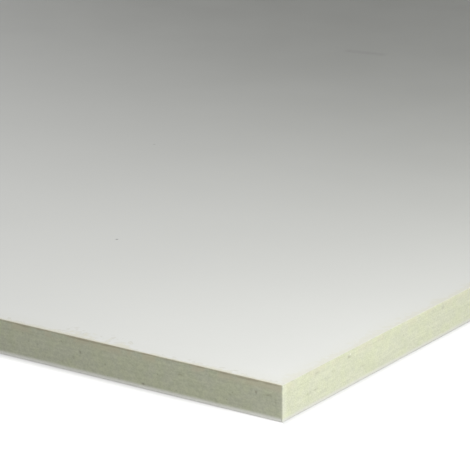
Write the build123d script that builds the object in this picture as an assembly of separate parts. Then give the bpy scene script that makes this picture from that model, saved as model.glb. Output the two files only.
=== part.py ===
from build123d import *
import os

# White-faced plywood sheet with sealed edges, a full sheet of stock lying flat.
# +X runs along the sheet's length, +Y across it and +Z up, out of the upper face.
# The origin is the middle of the lower face. All sizes are in millimetres.

# Driving dimensions
LENGTH = 2440.0  # long side of the sheet, along X
WIDTH = 1220.0  # short side of the sheet, along Y
THICKNESS = 18.0  # from the outside of one face to the outside of the other, along Z
ARRIS_RADIUS = 0.5  # light sanding of every sawn edge and corner before it is sealed


def plywood_sheet():
    """The pressed sheet as one solid: sawn square to size, with all its arrises eased."""
    blank = Box(LENGTH, WIDTH, THICKNESS, align=(Align.CENTER, Align.CENTER, Align.MIN))
    sheet = fillet(blank.edges(), ARRIS_RADIUS)
    sheet.label = "plywood_sheet"
    return sheet


os.makedirs("parts", exist_ok=True)
export_step(plywood_sheet(), "parts/plywood_sheet.step")
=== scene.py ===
import math

import bpy
import numpy as np
from mathutils import Matrix, Vector, noise


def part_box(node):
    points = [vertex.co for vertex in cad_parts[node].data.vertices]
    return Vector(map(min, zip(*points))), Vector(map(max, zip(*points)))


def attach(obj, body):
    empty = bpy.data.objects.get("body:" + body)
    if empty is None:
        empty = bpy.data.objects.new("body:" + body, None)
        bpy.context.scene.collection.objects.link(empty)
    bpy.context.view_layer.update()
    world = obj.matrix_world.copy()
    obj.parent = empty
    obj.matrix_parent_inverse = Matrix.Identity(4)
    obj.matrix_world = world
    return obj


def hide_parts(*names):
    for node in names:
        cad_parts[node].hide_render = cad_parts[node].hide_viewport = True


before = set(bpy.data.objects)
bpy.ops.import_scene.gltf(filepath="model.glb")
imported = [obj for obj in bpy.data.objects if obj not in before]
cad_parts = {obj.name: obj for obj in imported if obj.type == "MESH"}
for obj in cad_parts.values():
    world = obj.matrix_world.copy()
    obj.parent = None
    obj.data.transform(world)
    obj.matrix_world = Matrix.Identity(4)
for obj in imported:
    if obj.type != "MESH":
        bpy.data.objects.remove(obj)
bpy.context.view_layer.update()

# White-faced plywood sheet with sealer brushed on its sawn edges, lying flat. Metres throughout.
MM = 0.001
LOW, HIGH = (np.array(corner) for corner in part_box("plywood_sheet"))
HALF = (HIGH - LOW)[:2] / 2  # half the length and half the width
THICKNESS = HIGH[2] - LOW[2]
NEAR_CORNER = Vector((HIGH[0], LOW[1], HIGH[2]))  # the upper corner that the photograph shows

# Shape of the edges
ARRIS = 0.5 * MM  # radius of every arris and upright corner
ARRIS_STEPS = 5
INNER_CORNER = 0.12 * MM  # radius that the corners keep on the rows drawn in past the arris
LAP_ROWS = np.array((9.0, 6.0, 4.0, 2.5, 1.6, 1.0)) * MM  # rows on the faces, drawn in from the edge
EDGE_ROWS = 26

# Spacing of the mesh along the edges and over the faces
FINE_STEP = 0.6 * MM
FINE_REACH = 180 * MM  # how far from the near corner the edges keep the fine spacing
STEP_GROWTH = 0.04
COARSE_STEP = 6 * MM
FACE_STEP = 40 * MM
FACE_MARGIN = 30 * MM  # from the edge to the first line of the face's grid

# Bake map, in shares of its side: the edges lie in lanes along its foot, the two faces in bands above
LANES = 8
LANE_WIDTH = 0.984
LANE_PITCH = 0.041
LANE_FILL = 0.93
MAP_MARGIN = 0.004
UPPER_BAND = (0.336, 0.756)
LOWER_BAND = (0.996, 0.762)  # turned over

# Relief of the sealed edges, all of it inward
ROLL_DEPTH = 0.07 * MM  # the sanded edge falls away towards its arrises
ROLL_REACH = 1.0 * MM
WAVE_DEPTH = 0.05 * MM  # uneven brushing
WAVE_LENGTH = 28 * MM
PLY = 1.4 * MM  # one veneer, of which the softer ones sink
PLY_DEPTH = 0.02 * MM
PIT_DEPTH = 0.35 * MM
PIT_RADIUS = 0.5 * MM
# Pits and nicks that show, in millimetres from the near upper corner: way along the edge, way down it,
# half the length, and strength from 0 to 1
FRONT_PITS = (
    (116.3, 7.3, 0.6, 1.0),
    (101.4, 10.3, 0.6, 0.55),
    (120.3, 10.6, 0.7, 0.4),
    (142.3, 8.2, 0.8, 0.35),
    (127.1, 14.1, 0.6, 0.35),
    (93.5, 15.8, 0.7, 0.4),
    (79.0, 15.6, 0.9, 0.8),
    (70.6, 9.0, 0.5, 0.4),
    (57.7, 6.5, 1.8, 0.45),
    (36.9, 15.4, 0.6, 0.5),
    (28.9, 10.3, 1.2, 0.4),
    (14.8, 6.1, 0.6, 0.9),
    (8.0, 6.2, 1.8, 0.45),
    (4.0, 9.0, 0.6, 0.5),
)
RIGHT_PITS = (
    (29.2, 2.3, 1.8, 0.4),
    (56.9, 2.8, 1.2, 0.75),
    (144.4, 2.8, 1.3, 0.5),
    (43.0, 6.0, 1.8, 0.3),
    (22.0, 10.5, 2.2, 0.35),
    (27.5, 10.4, 2.0, 0.35),
    (68.7, 10.7, 2.2, 0.35),
)

# The photograph's camera, in the 470 by 470 frame
PHOTO_SIDE = 470
CORNER_PIXEL = (282.76, 386.05)  # where the near upper corner shows
FOCAL_PIXELS = 2800
PITCH = math.radians(17.3)  # down from level
YAW = math.radians(34.4)  # left of +Y
CORNER_DEPTH = 1.275  # from the lens to the near corner, along the view
SENSOR = 36.0  # millimetres, as the camera's data has it

# Light, with lamps placed from the near corner
SKY_LEVELS = (0.62, 0.50)  # near the horizon, and overhead
SKY_RISE = (math.radians(35), math.radians(65))  # above level: where the one ends, and the other starts
DARK_WAY = YAW  # towards the middle of the sky's dark patch
DARK_REACH = (math.radians(20), math.radians(32))  # from its middle: fully dark, and out of it
DARK_HEIGHT = (math.radians(10.0), math.radians(20.0))  # above level: fully dark, and out of it
DARK_TILT = math.radians(26)  # the patch's upper edge falls to the left
KEY_PLACE = Vector((0.22, 0.30, 0.60))
KEY_AIM = Vector((0, 0, -1))
KEY_SIZE = 0.4
KEY_SPREAD = math.radians(105)
KEY_POWER = 0.70
SIDE_PLACE = Vector((0.49, -0.085, 0.27))
SIDE_AIM = Vector((-0.5, 0.10, -0.28))
SIDE_SIZE = 0.3
SIDE_SPREAD = math.radians(180)
SIDE_POWER = 3.8
FLOOR_REACH = 300.0
FLOOR_GAP = 0.2 * MM
FLOOR_COLOUR = (0.5, 0.5, 0.5)
FLOOR_GLOW = 0.72
LONG_CONTACT_GLOW = (0.56, 0.39)  # painted contact shadow: the floor's glow right beside the sheet's long edges, at their ends and along them
CONTACT_FADE = 70 * MM
SHORT_CONTACT_GLOW = 0.28  # and beside its short edges, also painted contact shadow
CONTACT_REACH = 6.5 * MM

# Colours as linear red, green and blue
FILM_WHITE = (0.80, 0.81, 0.77)
LAP_CREAM = (0.75, 0.735, 0.60)  # sealer lapped thinly onto the film
LAP_OUTLINE = (0.58, 0.56, 0.46)  # where that lap dried along its outer line
DUST_GREY = (0.25, 0.25, 0.24)
SAGE_GREEN = (0.434, 0.453, 0.321)
SAGE_GREY = (0.434, 0.447, 0.339)
WOOD_TAN = (0.472, 0.436, 0.312)  # wood that shows through thin sealer
RESIN_BROWN = (0.295, 0.27, 0.192)  # outermost ply, just under the film
CREAM_AND_PAINTED_HIGHLIGHT = (0.82, 0.82, 0.77)  # cream of the chip and of the lower film's edge, also painted on as a highlight along the lower arris and the upright corners
CONTACT_SHADE_GREY = (0.44, 0.44, 0.425)  # painted shade: bluish grey of the contact shadow along the foot of the short edges
# dark brown of the specks on the sealer, and of the pits, where it is bare wood darkened as painted
# shade in the hollows
SPECK_AND_PIT_SHADE_BROWN = (0.14, 0.125, 0.09)

# White film: clouding, haze near the edges and gloss
CLOUD_SIZE = 180 * MM
CLOUD_TONE = (0.985, 1.01)
HAZE_REACH = 14 * MM
HAZE_SIZE = 45 * MM
HAZE_SHARE = (0.0, 0.25)
FILM_ROUGHNESS = (0.13, 0.17)
FILM_COAT_ROUGHNESS = 0.08
FILM_IOR = 1.65  # of a pressed resin
GLOSS_SIZE = 35 * MM
PEEL_SIZE = 3 * MM  # orange peel of the pressed film
PEEL_DEPTH = 0.001 * MM

# Sealer lapped onto the film
LAP_SIZE = 12 * MM
LONG_LAP = (2.2 * MM, 4.5 * MM)  # how far in it reaches from the long edges
SHORT_LAP = (5 * MM, 9 * MM)  # and from the short edges
LONG_LAP_SHARE = 0.95
SHORT_LAP_SHARE = 0.5
RAG_SIZE = 3 * MM  # raggedness of its outline
RAG = (0.55, 1.2)
LAP_FADE = (1.0, 0.3)  # in shares of its reach: out of the lap, and fully in it
SMEAR_MIDDLE = HIGH[0] - 110 * MM
SMEAR_REACH = (27 * MM, 15 * MM)  # along the front edge: out of the smear, and fully in it
SMEAR_LOBE = 7 * MM
SMEAR_LAP = (0.5 * MM, 6.5 * MM)  # how much farther in its lobes reach
OUTLINE_START = (0.7, 0.9)  # in shares of the lap's reach, where it dried darker
OUTLINE_END = (1.15, 0.95)
OUTLINE_SIZE = 6 * MM
OUTLINE_SHARE = 0.4

# Dirt on the film, placed from the near corner
SPECKS = ((Vector((-0.1960, 0.1366, 0)), 0.75), (Vector((-0.2910, 0.3013, 0)), 0.35))  # with strengths
SPECK_RADIUS = 1.1 * MM
SCUFF_ENDS = (Vector((-0.3275, 0.5672, 0)), Vector((-0.2925, 0.5728, 0)))
SCUFF_REACH = 5 * MM  # to each side
SCUFF_SHARE = (0.05, 0.12)
STROKE_TAPER = 0.2  # share of a stroke's length over which each end fades
RUB_SIZE = 2.5 * MM
DUST_CELL = 70 * MM  # one grain of dust in some of the cells
DUST_RADIUS = 0.7 * MM
DUST_CHANCE = 0.3
DUST_SHARE = 0.35

# Sealer on the edges
GRAIN = 30.0  # how much longer than high the veneers' streaks are
STREAK_SIZE = 0.9 * MM
STREAK_TONE = (0.955, 1.035)
DAUB = 1.8  # how much longer than high the brush daubs are
MOTTLE_SIZE = 1.6 * MM
MOTTLE_TONE = (-0.045, 0.045)
GRIT_SIZE = 0.8 * MM
GRIT_TONE = (-0.06, 0.06)
HUE_SIZE = 8 * MM
THIN_SIZE = 9 * MM  # patches of thin sealer along the upper arris
THIN_REACH = (5 * MM, 1.5 * MM)
THIN_CORNER = (17 * MM, 11 * MM)  # and it is thin all the way near the corners of the long edges
LONG_THIN_SHARE = 0.65
SHORT_THIN_SHARE = 0.22
LINE_SIZE = 11 * MM  # the brown line under the film on the long edges
LINE_REACH = (0.5 * MM, 1.1 * MM)
LINE_FADE = (1.2, 0.8)  # in shares of its reach: out of the line, and fully in it
LINE_SHARE = (0.4, 0.8)
FOOT_REACH = (2.8 * MM, 0.6 * MM)  # pale rim along the lower arris: the lower film's edge, made paler as a painted highlight where the arris lies in shade
LONG_FOOT_SHARE = 0.95
SHORT_FOOT_SHARE = 0.25
FOOT_SHADE_REACH = (2.3 * MM, 0.7 * MM)  # grey line of painted contact shadow along the foot of the short edges
FOOT_SHADE_SHARE = 0.65
CORNER_HIGHLIGHT_REACH = (4.5 * MM, 2.5 * MM)  # painted highlight on the upright corners of the short edges
CORNER_HIGHLIGHT_SHARE = 0.08
CHIP = Vector((0, 57.9 * MM, -1.9 * MM))  # from the near corner
CHIP_RADIUS = 0.8 * MM
CHIP_SHARE = 0.35
# painted shade in the pits, over their bare wood
PIT_SHADE_SHARE = 0.9
SPOT_CELL = 4 * MM
SPOT_RADIUS = 0.5 * MM
SPOT_CHANCE = 0.25
SPOT_SHARE = 0.35
SEALER_ROUGHNESS = (0.5, 0.62)
SEALER_DEPTH = 0.05 * MM


def vec(*values):
    return np.array(values, dtype=float)


# Outline of the sheet

def graded_shares(length):
    """Places along a side as shares of it, close together near its start."""
    places = [0.0]
    while places[-1] < length:
        step = FINE_STEP + STEP_GROWTH * max(0.0, places[-1] - FINE_REACH)
        places.append(places[-1] + min(step, COARSE_STEP))
    return np.array(places) / places[-1]


def even_shares(length):
    return np.linspace(0, 1, round(length / COARSE_STEP) + 1)


def sides():
    """The four sides anticlockwise from the near corner: way along, way out, and places along."""
    length, width = 2 * HALF
    return (
        (vec(0, 1), vec(1, 0), graded_shares(width)),
        (vec(-1, 0), vec(0, 1), even_shares(length)),
        (vec(0, -1), vec(-1, 0), even_shares(width)),
        (vec(1, 0), vec(0, -1), 1 - graded_shares(length)[::-1]),
    )


SIDES = sides()
CORNER_TURN = np.linspace(0, math.pi / 2, ARRIS_STEPS + 1)[1:-1]


def ring(inset):
    """Points of the outline drawn in by inset, and the way out of the sheet at each of them."""
    radius = max(ARRIS - inset, INNER_CORNER)
    centre = HALF - inset - radius
    points = []
    ways_out = []
    for along, out, shares in SIDES:
        start = (out - along) * centre
        end = (out + along) * centre
        points.append(start + shares[:, None] * (end - start) + out * radius)
        ways_out.append(np.repeat(out[None], len(shares), axis=0))
        turned = np.cos(CORNER_TURN)[:, None] * out + np.sin(CORNER_TURN)[:, None] * along
        points.append(end + radius * turned)
        ways_out.append(turned)
    return np.concatenate(points), np.concatenate(ways_out)


def ring_progress():
    """How far round the outline each ring point lies, counted in sides."""
    parts = []
    for number, (along, out, shares) in enumerate(SIDES):
        parts.append(number + shares)
        parts.append(np.full(len(CORNER_TURN), number + 1.0))
    return np.concatenate(parts)


def profile():
    """Inset and height of each row, from the upper face over the edge to the lower face."""
    turn = np.linspace(0, math.pi / 2, ARRIS_STEPS + 1)
    lap = [(inset, THICKNESS) for inset in LAP_ROWS]
    arris = [(ARRIS * (1 - math.sin(a)), THICKNESS - ARRIS * (1 - math.cos(a))) for a in turn]
    upper = lap + arris
    lower = [(inset, THICKNESS - height) for inset, height in reversed(upper)]
    heights = np.linspace(THICKNESS - ARRIS, ARRIS, EDGE_ROWS + 1)[1:-1]
    return upper + [(0.0, height) for height in heights] + lower


# Relief of the edges

def pit_strength(points, height):
    """How deep each point lies in a pit, from 0 to 1."""
    strength = np.zeros(len(points))
    below = THICKNESS - height
    from_corner = np.abs(points - np.array(NEAR_CORNER)[:2])
    for axis, pits in ((0, FRONT_PITS), (1, RIGHT_PITS)):
        on_edge = from_corner[:, 1 - axis] < ARRIS
        for along, down, reach, share in pits:
            aside = (from_corner[:, axis] - along * MM) / (reach * MM)
            distance = np.hypot(aside, (below - down * MM) / PIT_RADIUS)
            strength = np.maximum(strength, on_edge * share * np.exp(-distance ** 2))
    return strength


def edge_relief(points, height):
    """How far inward each point of a row on the edge lies, apart from its pits."""
    to_corner = np.max(HALF - np.abs(points), axis=1)
    roll = sum(np.exp(-gap / ROLL_REACH) for gap in (to_corner, height, THICKNESS - height))
    wave = [noise.noise(Vector((x + y, height, x - y)) / WAVE_LENGTH) for x, y in points]
    ply = 0.5 - 0.5 * math.cos(math.pi * height / PLY)
    return ROLL_DEPTH * roll + WAVE_DEPTH * (0.5 + 0.5 * np.array(wave)) + PLY_DEPTH * ply


def row_vertices(inset, height):
    """Vertices of one row, with the pit strength at each."""
    points, ways_out = ring(inset)
    pits = np.zeros(len(points))
    if inset < ARRIS:
        pits = pit_strength(points, height)
        inward = edge_relief(points, height) + PIT_DEPTH * pits
        points = points - ways_out * inward[:, None] * (1 - inset / ARRIS)
    return np.column_stack((points, np.full(len(points), height))), pits


# Mesh of the sheet

def face_grid(height):
    """Vertices of a face's inner grid, with its size in points."""
    reach = HALF - FACE_MARGIN
    count = [max(2, round(2 * span / FACE_STEP)) + 1 for span in reach]
    xs = np.linspace(-reach[0], reach[0], count[0])
    ys = np.linspace(-reach[1], reach[1], count[1])
    grid = np.array([(x, y, height) for y in ys for x in xs])
    return grid, count


def grid_rim(count):
    """Numbers of the grid's outer vertices, anticlockwise from the near corner, and their progress."""
    columns, rows = count
    numbers = np.arange(columns * rows).reshape(rows, columns)
    runs = (numbers[:-1, -1], numbers[-1, :0:-1], numbers[:0:-1, 0], numbers[0, :-1])
    progress = [side + np.arange(len(run)) / len(run) for side, run in enumerate(runs)]
    return np.concatenate(runs), np.concatenate(progress)


def grid_faces(count):
    columns, rows = count
    starts = [row * columns + column for row in range(rows - 1) for column in range(columns - 1)]
    return [(s, s + 1, s + columns + 1, s + columns) for s in starts]


def stitched_faces(outer, outer_at, inner, inner_at):
    """Triangles between two closed rings, zipped together by their progress round the outline."""
    outer = np.append(outer, outer[0])
    inner = np.append(inner, inner[0])
    outer_at = np.append(outer_at, len(SIDES))
    inner_at = np.append(inner_at, len(SIDES))
    faces = []
    i = j = 0
    while i < len(outer) - 1 or j < len(inner) - 1:
        inner_done = j == len(inner) - 1
        if inner_done or (i < len(outer) - 1 and outer_at[i + 1] <= inner_at[j + 1]):
            faces.append((outer[i], outer[i + 1], inner[j]))
            i += 1
        else:
            faces.append((outer[i], inner[j + 1], inner[j]))
            j += 1
    return faces


def edge_faces(row_count, ring_size):
    """Quads between the rows round the sheet."""
    faces = []
    for row in range(row_count - 1):
        for place in range(ring_size):
            onward = (place + 1) % ring_size
            upper = row * ring_size
            lower = upper + ring_size
            faces.append((upper + place, lower + place, lower + onward, upper + onward))
    return faces


def flat_face(outer, height, first):
    """Vertices of a face's grid, numbered from first, and the faces inside an outer ring."""
    grid, count = face_grid(height)
    rim, rim_progress = grid_rim(count)
    faces = stitched_faces(outer, ring_progress(), rim + first, rim_progress)
    faces += [tuple(corner + first for corner in face) for face in grid_faces(count)]
    return grid, faces


def edge_map(rows):
    """Bake map of the quads round the sheet, with each stretch of the outline in a lane of its own."""
    outline = ring(0.0)[0]
    steps = np.linalg.norm(np.roll(outline, -1, axis=0) - outline, axis=1)
    ends = LANES * np.cumsum(steps) / steps.sum()
    starts = np.append(0.0, ends[:-1])
    lanes = np.floor(starts)
    spans = np.linalg.norm(np.diff(rows, axis=0), axis=1)
    levels = LANE_FILL * (1 - np.append(0.0, np.cumsum(spans)) / spans.sum())
    quads = []
    for upper, lower in zip(levels, levels[1:]):
        corners = ((starts, upper), (starts, lower), (ends, lower), (ends, upper))
        places = [((way - lanes) * LANE_WIDTH, (lanes + level) * LANE_PITCH) for way, level in corners]
        quads.append(np.transpose(places, (2, 0, 1)))
    return np.concatenate(quads).reshape(-1, 2) + MAP_MARGIN


def face_map(points):
    """Bake map of points on the two faces, each laid flat in its own band."""
    along, across = (0.5 + points[:, :2] / (2 * HALF)).T
    upper, lower = (start + across * (end - start) for start, end in (UPPER_BAND, LOWER_BAND))
    level = np.where(points[:, 2] > THICKNESS / 2, upper, lower)
    return np.column_stack((MAP_MARGIN + along * (1 - 2 * MAP_MARGIN), level))


def marked_mesh(points, faces, sealed, pits, places):
    """Mesh with its material numbers, the strength of its pits and its bake map."""
    mesh = bpy.data.meshes.new("plywood_sheet_dressed")
    mesh.from_pydata(points.tolist(), [], [[int(v) for v in face] for face in faces])
    mesh.polygons.foreach_set("material_index", sealed)
    mesh.polygons.foreach_set("use_smooth", np.ones(len(faces), dtype=bool))
    mesh.attributes.new("pit", "FLOAT", "POINT").data.foreach_set("value", pits)
    mesh.uv_layers.new(name="OFBake").uv.foreach_set("vector", places.ravel())
    mesh.update()
    return mesh


def sheet_mesh():
    """The whole sheet as one closed mesh, with its sealed faces marked by material number."""
    rows = profile()
    built = [row_vertices(inset, height) for inset, height in rows]
    ring_size = len(built[0][0])
    edge = edge_faces(len(rows), ring_size)
    outer = np.arange(ring_size)
    total = ring_size * len(rows)
    upper_grid, upper = flat_face(outer, THICKNESS, total)
    lower_grid, lower = flat_face(outer + total - ring_size, 0.0, total + len(upper_grid))
    faces = edge + upper + [face[::-1] for face in lower]
    points = np.concatenate([row for row, row_pits in built] + [upper_grid, lower_grid])
    pits = np.zeros(len(points))
    pits[:total] = np.concatenate([row_pits for row, row_pits in built])
    lap_faces = len(LAP_ROWS) * ring_size
    sealed = np.zeros(len(faces), dtype=np.int32)
    sealed[lap_faces:len(edge) - lap_faces] = 1
    corners = [corner for face in faces[len(edge):] for corner in face]
    places = np.concatenate((edge_map(rows), face_map(points[corners])))
    return marked_mesh(points, faces, sealed, pits, places)


# Materials

NOISE_DETAIL = 3.0
SPOT_CORE = 0.4  # share of a spot's radius that has its full colour
SOFT, FIRM, HARD = 0.2, 0.12, 0.08  # how far patches of noise spread either side of their outline
MIX_FIRST, MIX_SECOND, MIX_RESULT = 6, 7, 2  # the colour sockets of a mix node


class Nodes:
    """Short calls for the nodes of one node tree."""

    def __init__(self, tree):
        self.tree = tree

    def new(self, kind):
        return self.tree.nodes.new(kind)

    def feed(self, socket, value):
        """Link a socket to another node's output, or set it to a plain value."""
        if isinstance(value, bpy.types.NodeSocket):
            self.tree.links.new(value, socket)
        elif socket.type == "RGBA":
            socket.default_value = (*value, 1)
        else:
            socket.default_value = value

    def place(self):
        """Place on the sheet, in metres."""
        return self.new("ShaderNodeTexCoord").outputs["Object"]

    def split(self, vector):
        node = self.new("ShaderNodeSeparateXYZ")
        self.feed(node.inputs[0], vector)
        return node.outputs

    def join(self, x, y, z):
        node = self.new("ShaderNodeCombineXYZ")
        for socket, value in zip(node.inputs, (x, y, z)):
            self.feed(socket, value)
        return node.outputs[0]

    def math(self, operation, first, second=0.0):
        node = self.new("ShaderNodeMath")
        node.operation = operation
        self.feed(node.inputs[0], first)
        self.feed(node.inputs[1], second)
        return node.outputs[0]

    def dot(self, vector, way):
        """How far a vector reaches in a fixed direction."""
        node = self.new("ShaderNodeVectorMath")
        node.operation = "DOT_PRODUCT"
        self.feed(node.inputs[0], vector)
        node.inputs[1].default_value = way
        return node.outputs["Value"]

    def step(self, value, start, end, low=0.0, high=1.0):
        """Smooth change from low to high while the value goes from start to end."""
        node = self.new("ShaderNodeMapRange")
        node.interpolation_type = "SMOOTHSTEP"
        for socket, number in zip(node.inputs, (value, start, end, low, high)):
            self.feed(socket, number)
        return node.outputs[0]

    def patches(self, vector, size, low=0.0, high=1.0, spread=SOFT):
        """Soft patches of the given size, from low to high. Less spread makes their outlines harder."""
        node = self.new("ShaderNodeTexNoise")
        self.feed(node.inputs["Vector"], vector)
        node.inputs["Scale"].default_value = 1 / size
        node.inputs["Detail"].default_value = NOISE_DETAIL
        return self.step(node.outputs[0], 0.5 - spread, 0.5 + spread, low, high)

    def product(self, first, *others):
        for other in others:
            first = self.math("MULTIPLY", first, other)
        return first

    def spots(self, vector, cell, radius, share):
        """Round spots of the given radius, one in each of the given share of cells."""
        node = self.new("ShaderNodeTexVoronoi")
        self.feed(node.inputs["Vector"], vector)
        node.inputs["Scale"].default_value = 1 / cell
        chosen = self.math("LESS_THAN", self.split(node.outputs["Color"])[0], share)
        disc = self.step(node.outputs["Distance"], radius / cell, SPOT_CORE * radius / cell)
        return self.math("MULTIPLY", chosen, disc)

    def blot(self, vector, centre, radius):
        """One soft round spot about a centre."""
        node = self.new("ShaderNodeVectorMath")
        node.operation = "DISTANCE"
        self.feed(node.inputs[0], vector)
        node.inputs[1].default_value = centre
        return self.step(node.outputs["Value"], radius, SPOT_CORE * radius)

    def stroke(self, vector, start, end, reach):
        """One soft stroke from start to end, reaching a little way to each side."""
        along = (end - start) / (end - start).length_squared
        across = Vector((-along.y, along.x, 0)).normalized()
        way = self.math("SUBTRACT", self.dot(vector, along), start.dot(along))
        aside = self.math("SUBTRACT", self.dot(vector, across), start.dot(across))
        fade = self.product(self.step(way, 0, STROKE_TAPER), self.step(way, 1, 1 - STROKE_TAPER))
        return self.product(fade, self.step(self.math("ABSOLUTE", aside), reach, SPOT_CORE * reach))

    def blend(self, share, first, second):
        """Colour that goes from the first to the second as share goes from 0 to 1."""
        node = self.new("ShaderNodeMix")
        node.data_type = "RGBA"
        self.feed(node.inputs[0], share)
        self.feed(node.inputs[MIX_FIRST], first)
        self.feed(node.inputs[MIX_SECOND], second)
        return node.outputs[MIX_RESULT]

    def shade(self, colour, factor):
        """Colour made lighter or darker by a factor."""
        node = self.new("ShaderNodeVectorMath")
        node.operation = "SCALE"
        self.feed(node.inputs[0], colour)
        self.feed(node.inputs["Scale"], factor)
        return node.outputs[0]


class Finish(Nodes):
    """A material's nodes, with its surface shader."""

    def __init__(self, name):
        self.material = bpy.data.materials.new(name)
        self.material.use_nodes = True
        super().__init__(self.material.node_tree)
        self.shader = self.tree.nodes["Principled BSDF"]

    def edge_gaps(self, place):
        """How far a place lies in from the short edges and from the long edges."""
        x, y, z = self.split(place)
        pairs = zip(HALF, (x, y))
        return [self.math("SUBTRACT", half, self.math("ABSOLUTE", way)) for half, way in pairs]

    def edge_kinds(self, place):
        """Whether a place on the sealed edge is on a short edge, and whether it is on a long one."""
        short_gap, long_gap = self.edge_gaps(place)
        on_short = self.step(short_gap, 2 * ARRIS, ARRIS)
        return on_short, self.math("SUBTRACT", 1.0, on_short)

    def drawn_out(self, place, factor):
        """Places squeezed level, so that a pattern laid on them comes out longer along the edge."""
        x, y, z = self.split(place)
        return self.join(self.math("DIVIDE", x, factor), self.math("DIVIDE", y, factor), z)

    def bump(self, height, depth):
        node = self.new("ShaderNodeBump")
        self.feed(node.inputs["Height"], height)
        node.inputs["Distance"].default_value = depth
        self.feed(self.shader.inputs["Normal"], node.outputs[0])


def smear_lap(film, place):
    """How much farther in the lap reaches in the lobes of the smear on the front edge."""
    x, y, z = film.split(place)
    aside = film.math("ABSOLUTE", film.math("SUBTRACT", x, SMEAR_MIDDLE))
    on_front = film.math("LESS_THAN", y, 0.0)
    lobes = film.patches(place, SMEAR_LOBE, *SMEAR_LAP, HARD)
    return film.product(on_front, film.step(aside, *SMEAR_REACH), lobes)


def lapped_colour(film, place, colour):
    """Colour with sealer lapped onto it from the edges, and with the dried outline of the long laps."""
    short_gap, long_gap = film.edge_gaps(place)
    rag = film.patches(place, RAG_SIZE, *RAG)
    long_reach = film.patches(place, LAP_SIZE, *LONG_LAP, FIRM)
    long_reach = film.math("ADD", long_reach, smear_lap(film, place))
    short_reach = film.patches(place, LAP_SIZE, *SHORT_LAP, FIRM)
    long_way = film.math("DIVIDE", long_gap, film.product(long_reach, rag))
    short_way = film.math("DIVIDE", short_gap, film.product(short_reach, rag))
    long_cover = film.step(long_way, *LAP_FADE, 0.0, LONG_LAP_SHARE)
    short_cover = film.step(short_way, *LAP_FADE, 0.0, SHORT_LAP_SHARE)
    colour = film.blend(film.math("MAXIMUM", long_cover, short_cover), colour, LAP_CREAM)
    outline = film.product(film.step(long_way, *OUTLINE_START), film.step(long_way, *OUTLINE_END))
    outline = film.product(outline, film.patches(place, OUTLINE_SIZE, 0.0, OUTLINE_SHARE, HARD))
    return film.blend(outline, colour, LAP_OUTLINE)


def film_dirt(film, place):
    """Share of dirt: a rubbed scuff, grains of dust and the two specks that show."""
    ends = (NEAR_CORNER + end for end in SCUFF_ENDS)
    rubbing = film.patches(place, RUB_SIZE, *SCUFF_SHARE)
    dirt = film.product(film.stroke(place, *ends, SCUFF_REACH), rubbing)
    dust = film.product(film.spots(place, DUST_CELL, DUST_RADIUS, DUST_CHANCE), DUST_SHARE)
    dirt = film.math("MAXIMUM", dirt, dust)
    for speck, strength in SPECKS:
        grain = film.product(film.blot(place, NEAR_CORNER + speck, SPECK_RADIUS), strength)
        dirt = film.math("MAXIMUM", dirt, grain)
    return dirt


def film_material():
    """Satin white resin film, with sealer lapped a little way onto it and a few marks."""
    film = Finish("white_film")
    place = film.place()
    gap = film.math("MINIMUM", *film.edge_gaps(place))
    haze = film.product(film.step(gap, HAZE_REACH, 0.0), film.patches(place, HAZE_SIZE, *HAZE_SHARE))
    colour = film.shade(FILM_WHITE, film.patches(place, CLOUD_SIZE, *CLOUD_TONE))
    colour = lapped_colour(film, place, film.blend(haze, colour, LAP_CREAM))
    colour = film.blend(film_dirt(film, place), colour, DUST_GREY)
    film.feed(film.shader.inputs["Base Color"], colour)
    film.feed(film.shader.inputs["Roughness"], film.patches(place, GLOSS_SIZE, *FILM_ROUGHNESS))
    film.shader.inputs["IOR"].default_value = FILM_IOR
    film.shader.inputs["Coat Weight"].default_value = 1.0
    film.shader.inputs["Coat IOR"].default_value = FILM_IOR
    film.shader.inputs["Coat Roughness"].default_value = FILM_COAT_ROUGHNESS
    film.bump(film.patches(place, PEEL_SIZE), PEEL_DEPTH)
    return film.material


def brushed_colour(sealer, place, mottle, grit):
    """Colour of the sealer over the sawn plies, with its mottling."""
    streaks = sealer.patches(sealer.drawn_out(place, GRAIN), STREAK_SIZE, *STREAK_TONE)
    tone = sealer.math("ADD", streaks, sealer.step(mottle, 0, 1, *MOTTLE_TONE))
    tone = sealer.math("ADD", tone, sealer.step(grit, 0, 1, *GRIT_TONE))
    hue = sealer.patches(place, HUE_SIZE, 0, 1, FIRM)
    return sealer.shade(sealer.blend(hue, SAGE_GREEN, SAGE_GREY), tone)


def thinned_colour(sealer, place, colour):
    """Colour with thin sealer and the brown line of the outermost ply along the upper arris."""
    below = sealer.math("SUBTRACT", THICKNESS, sealer.split(place)["Z"])
    on_short, on_long = sealer.edge_kinds(place)
    short_gap, long_gap = sealer.edge_gaps(place)
    corner = sealer.product(sealer.step(short_gap, *THIN_CORNER), on_long)
    thin = sealer.math("MAXIMUM", sealer.patches(place, THIN_SIZE, 0, 1, HARD), corner)
    share = sealer.step(on_long, 0, 1, SHORT_THIN_SHARE, LONG_THIN_SHARE)
    thin = sealer.product(thin, sealer.step(below, *THIN_REACH), share)
    colour = sealer.blend(thin, colour, WOOD_TAN)
    way_down = sealer.math("DIVIDE", below, sealer.patches(place, LINE_SIZE, *LINE_REACH))
    strength = sealer.patches(place, THIN_SIZE, *LINE_SHARE)
    line = sealer.product(sealer.step(way_down, *LINE_FADE), on_long, strength)
    return sealer.blend(line, colour, RESIN_BROWN)


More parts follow.
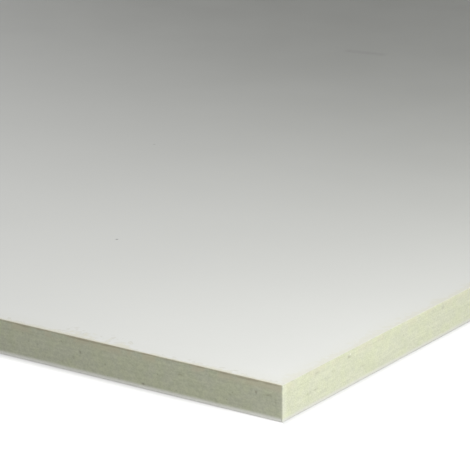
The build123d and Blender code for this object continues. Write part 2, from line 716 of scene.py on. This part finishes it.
def footed_colour(sealer, place, colour):
    """Colour along the lower arris: a pale rim of the lower film's edge, made paler as a painted
    highlight against the shade there, and on the short edges a grey line of painted contact shadow.
    """
    height = sealer.split(place)["Z"]
    on_short, on_long = sealer.edge_kinds(place)
    share = sealer.step(on_long, 0, 1, SHORT_FOOT_SHARE, LONG_FOOT_SHARE)
    # Pale rim: the lower film's edge, partly a painted highlight against the shade under the arris
    colour = sealer.blend(sealer.product(sealer.step(height, *FOOT_REACH), share), colour, CREAM_AND_PAINTED_HIGHLIGHT)
    # Painted contact shadow: a grey line along the foot of the short edges
    line = sealer.product(sealer.step(height, *FOOT_SHADE_REACH), on_short, FOOT_SHADE_SHARE)
    return sealer.blend(line, colour, CONTACT_SHADE_GREY)


def highlit_and_chipped_colour(sealer, place, colour):
    """Colour with a painted highlight on the upright corners of the short edges, and with the chip."""
    short_gap, long_gap = sealer.edge_gaps(place)
    on_short, on_long = sealer.edge_kinds(place)
    # Painted highlight where the upright corners catch the light
    corner_highlight = sealer.product(sealer.step(long_gap, *CORNER_HIGHLIGHT_REACH), on_short, CORNER_HIGHLIGHT_SHARE)
    chip = sealer.product(sealer.blot(place, NEAR_CORNER + CHIP, CHIP_RADIUS), CHIP_SHARE)
    return sealer.blend(sealer.math("MAXIMUM", corner_highlight, chip), colour, CREAM_AND_PAINTED_HIGHLIGHT)


def sealer_material():
    """Matt pale green sealer brushed on the sawn plies, thin enough for wood to show along its rims."""
    sealer = Finish("edge_sealer")
    place = sealer.place()
    mottle = sealer.patches(sealer.drawn_out(place, DAUB), MOTTLE_SIZE)
    grit = sealer.patches(place, GRIT_SIZE)
    colour = brushed_colour(sealer, place, mottle, grit)
    colour = footed_colour(sealer, place, thinned_colour(sealer, place, colour))
    colour = highlit_and_chipped_colour(sealer, place, colour)
    pit = sealer.new("ShaderNodeAttribute")
    pit.attribute_name = "pit"
    spots = sealer.product(sealer.spots(place, SPOT_CELL, SPOT_RADIUS, SPOT_CHANCE), SPOT_SHARE)
    # Dark specks, and painted shade in the pits
    dark = sealer.math("MAXIMUM", spots, sealer.product(pit.outputs["Fac"], PIT_SHADE_SHARE))
    sealer.feed(sealer.shader.inputs["Base Color"], sealer.blend(dark, colour, SPECK_AND_PIT_SHADE_BROWN))
    sealer.feed(sealer.shader.inputs["Roughness"], sealer.step(mottle, 0, 1, *SEALER_ROUGHNESS))
    sealer.bump(sealer.math("ADD", mottle, grit), SEALER_DEPTH)
    return sealer.material


def floor_material():
    """Plain white floor that shows white to the lens and to gloss, with a painted contact shadow where
    it meets the sheet.
    """
    floor = Finish("white_floor")
    path = floor.new("ShaderNodeLightPath")
    seen = floor.math("MAXIMUM", path.outputs["Is Camera Ray"], path.outputs["Is Glossy Ray"])
    seen = floor.math("MAXIMUM", seen, path.outputs["Is Transmission Ray"])
    # Painted contact shadow: less glow close beside the sheet
    short_gap, long_gap = floor.edge_gaps(floor.place())
    beside_short = floor.math("LESS_THAN", short_gap, long_gap)
    along_long = floor.step(short_gap, 0, CONTACT_FADE, *LONG_CONTACT_GLOW)
    contact = floor.step(beside_short, 0, 1, along_long, SHORT_CONTACT_GLOW)
    gap = floor.math("MINIMUM", short_gap, long_gap)
    glow = floor.step(gap, 0.0, -CONTACT_REACH, contact, FLOOR_GLOW)
    floor.shader.inputs["Base Color"].default_value = (*FLOOR_COLOUR, 1)
    floor.shader.inputs["Roughness"].default_value = 1.0
    floor.shader.inputs["Specular IOR Level"].default_value = 0.0
    floor.shader.inputs["Emission Color"].default_value = (1, 1, 1, 1)
    floor.feed(floor.shader.inputs["Emission Strength"], floor.product(seen, glow))
    return floor.material


# Pieces and stage

def add_sheet():
    sheet = bpy.data.objects.new("faced_sheet", sheet_mesh())
    bpy.context.collection.objects.link(sheet)
    sheet.data.materials.append(film_material())
    sheet.data.materials.append(sealer_material())
    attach(sheet, "root")
    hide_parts("plywood_sheet")


def add_floor():
    mesh = bpy.data.meshes.new("floor")
    reach = FLOOR_REACH
    corners = [(-reach, -reach), (reach, -reach), (reach, reach), (-reach, reach)]
    mesh.from_pydata([(x, y, LOW[2] - FLOOR_GAP) for x, y in corners], [], [(0, 1, 2, 3)])
    mesh.materials.append(floor_material())
    floor = bpy.data.objects.new("floor", mesh)
    bpy.context.collection.objects.link(floor)


def add_world():
    """Soft sky, darker overhead, with a dark patch low behind the sheet for its gloss to show."""
    world = bpy.data.worlds.new("studio")
    bpy.context.scene.world = world
    world.use_nodes = True
    sky = Nodes(world.node_tree)
    towards = Vector((-math.sin(DARK_WAY), math.cos(DARK_WAY), 0))
    left = Vector((-math.cos(DARK_WAY), -math.sin(DARK_WAY), 0))
    rise = Vector((0, 0, math.cos(DARK_TILT))) + left * math.sin(DARK_TILT)
    way = sky.new("ShaderNodeTexCoord").outputs["Generated"]
    beside = sky.step(sky.dot(way, towards), *(math.cos(angle) for angle in DARK_REACH))
    above = sky.step(sky.dot(way, rise), *(math.sin(angle) for angle in DARK_HEIGHT))
    clear = sky.math("MAXIMUM", beside, above)
    height = sky.dot(way, Vector((0, 0, 1)))
    level = sky.step(height, *(math.sin(angle) for angle in SKY_RISE), *SKY_LEVELS)
    background = world.node_tree.nodes["Background"]
    background.inputs["Color"].default_value = (1, 1, 1, 1)
    sky.feed(background.inputs["Strength"], sky.product(clear, level))


def add_lamp(name, place, aim, size, spread, power):
    """A square soft lamp, placed from the near corner, that neither the lens nor gloss shows."""
    data = bpy.data.lights.new(name, "AREA")
    data.size = size
    data.spread = spread
    data.energy = power
    lamp = bpy.data.objects.new(name, data)
    lamp.location = NEAR_CORNER + place
    lamp.rotation_euler = aim.to_track_quat("-Z", "Y").to_euler()
    lamp.visible_camera = False
    lamp.visible_glossy = False
    bpy.context.collection.objects.link(lamp)


def add_camera():
    """The photograph's camera, from where the near corner shows in its frame."""
    view = Vector((-math.sin(YAW) * math.cos(PITCH), math.cos(YAW) * math.cos(PITCH), -math.sin(PITCH)))
    right = view.cross(Vector((0, 0, 1))).normalized()
    up = right.cross(view)
    across, down = (pixel - PHOTO_SIDE / 2 for pixel in CORNER_PIXEL)
    to_corner = view + right * across / FOCAL_PIXELS - up * down / FOCAL_PIXELS
    data = bpy.data.cameras.new("camera")
    data.sensor_width = SENSOR
    data.lens = SENSOR * FOCAL_PIXELS / PHOTO_SIDE
    camera = bpy.data.objects.new("camera", data)
    turn = Matrix((right, up, -view)).transposed().to_4x4()
    camera.matrix_world = Matrix.Translation(NEAR_CORNER - CORNER_DEPTH * to_corner) @ turn
    bpy.context.collection.objects.link(camera)
    bpy.context.scene.camera = camera


add_sheet()
add_floor()
add_world()
add_lamp("key", KEY_PLACE, KEY_AIM, KEY_SIZE, KEY_SPREAD, KEY_POWER)
add_lamp("side", SIDE_PLACE, SIDE_AIM, SIDE_SIZE, SIDE_SPREAD, SIDE_POWER)
add_camera()
bpy.context.scene.view_settings.view_transform = "Standard"
